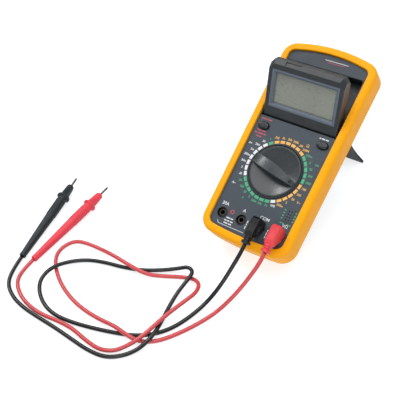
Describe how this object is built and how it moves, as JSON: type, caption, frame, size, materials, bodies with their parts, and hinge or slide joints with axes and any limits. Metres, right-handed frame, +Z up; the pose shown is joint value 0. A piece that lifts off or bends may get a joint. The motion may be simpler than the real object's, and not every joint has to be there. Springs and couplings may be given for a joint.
{
  "type": "digital multimeter",
  "caption": "Hand-held digital multimeter in a rubber holster on its rear stand, with a flip-up display, a turning range knob, push buttons and plug-in test leads.",
  "frame": {"origin": "on the table, at the centre of the leaning meter's own bounding box, its leads left out", "axes": "+X to the meter's right-hand side as it is read, +Y behind it, +Z up; the panel leans back 30 degrees from level"},
  "size_m": [0.2453, 0.3147, 0.1317],
  "materials": {
    "holster_rubber": "satin",
    "case_plastic": "matte",
    "panel_print": "satin",
    "socket_plastic": "gloss",
    "button_plastic": "satin",
    "knob_plastic": "satin",
    "inner_plastic": "matte",
    "spring_metal": "satin",
    "steel": "polished",
    "board": "satin",
    "fuse_glass": "clear",
    "battery_wrap": "satin",
    "display_plastic": "satin",
    "bezel_plastic": "satin",
    "clear_window": "clear",
    "lcd": "satin",
    "jack_brass": "polished",
    "black_plastic": "satin",
    "black_rubber": "satin",
    "nickel": "polished",
    "red_plastic": "satin",
    "red_rubber": "satin"
  },
  "bodies": {
    "meter": {"holster": "holster_rubber", "front_case": "case_plastic", "rear_case": "case_plastic", "panel_label": "panel_print", "head_label": "panel_print", "knob_ring": "case_plastic", "transistor_socket": "socket_plastic", "power_switch": "socket_plastic", "hold_switch": "socket_plastic", "detent_ring": "inner_plastic", "main_board": "board", "meter_chip": "socket_plastic", "buzzer": "socket_plastic", "display_ribbon": "inner_plastic", "fuse": "fuse_glass", "fuse_clip_left": "spring_metal", "fuse_clip_right": "spring_metal", "shunt_bar": "spring_metal", "battery": "battery_wrap", "battery_snap": "socket_plastic", "battery_door": "case_plastic", "battery_door_screw": "steel", "stand_pin": "steel", "case_screws": "steel", "jack_collar_20a": "socket_plastic", "jack_contact_20a": "jack_brass", "jack_collar_a": "socket_plastic", "jack_contact_a": "jack_brass", "jack_collar_com": "socket_plastic", "jack_contact_com": "jack_brass", "jack_collar_v": "socket_plastic", "jack_contact_v": "jack_brass", "test_lead_black": "black_rubber", "test_lead_red": "red_rubber", "probe_grip_black": "black_plastic", "probe_grip_red": "red_plastic", "probe_tip_black": "nickel", "probe_tip_red": "nickel"},
    "display": {"display_housing": "display_plastic", "display_back": "display_plastic", "display_bezel": "bezel_plastic", "display_window": "clear_window", "display_lcd": "lcd", "display_strip": "inner_plastic", "display_board": "board"},
    "selector": {"range_knob": "knob_plastic", "selector_rotor": "inner_plastic", "selector_wiper": "spring_metal", "detent_ball": "steel", "detent_spring": "steel"},
    "power_key": {"power_button": "button_plastic"},
    "hold_key": {"hold_button": "button_plastic"},
    "rear_stand": {"stand": "case_plastic"},
    "black_plug": {"plug_body_black": "black_plastic", "plug_pin_black": "nickel", "strain_relief_black": "black_rubber"},
    "red_plug": {"plug_body_red": "red_plastic", "plug_pin_red": "nickel", "strain_relief_red": "red_rubber"}
  },
  "joints": [
    {"name": "display_hinge", "type": "hinge", "parent": "meter", "child": "display", "pos_m": [0, 0.01619, 0.08367], "axis": [1, 0, 0], "range_deg": [-42, 0]},
    {"name": "knob_turn", "type": "hinge", "parent": "meter", "child": "selector", "pos_m": [0, -0.02814, 0.06304], "axis": [0, -0.5, 0.866], "continuous": true},
    {"name": "power_press", "type": "slide", "parent": "meter", "child": "power_key", "axis": [0, 0.5, -0.866], "range_m": [0, 0.002], "stiffness_N_per_m": 300, "springref_m": -0.0008},
    {"name": "hold_press", "type": "slide", "parent": "meter", "child": "hold_key", "axis": [0, 0.5, -0.866], "range_m": [0, 0.002], "stiffness_N_per_m": 300, "springref_m": -0.0008},
    {"name": "stand_hinge", "type": "hinge", "parent": "meter", "child": "rear_stand", "pos_m": [0, 0.05431, 0.07023], "axis": [1, 0, 0], "range_deg": [-81.7, 0]},
    {"name": "black_plug_pull", "type": "slide", "parent": "meter", "child": "black_plug", "axis": [0, -0.5, 0.866], "range_m": [0, 0.02]},
    {"name": "red_plug_pull", "type": "slide", "parent": "meter", "child": "red_plug", "axis": [0, -0.5, 0.866], "range_m": [0, 0.02]}
  ]
}
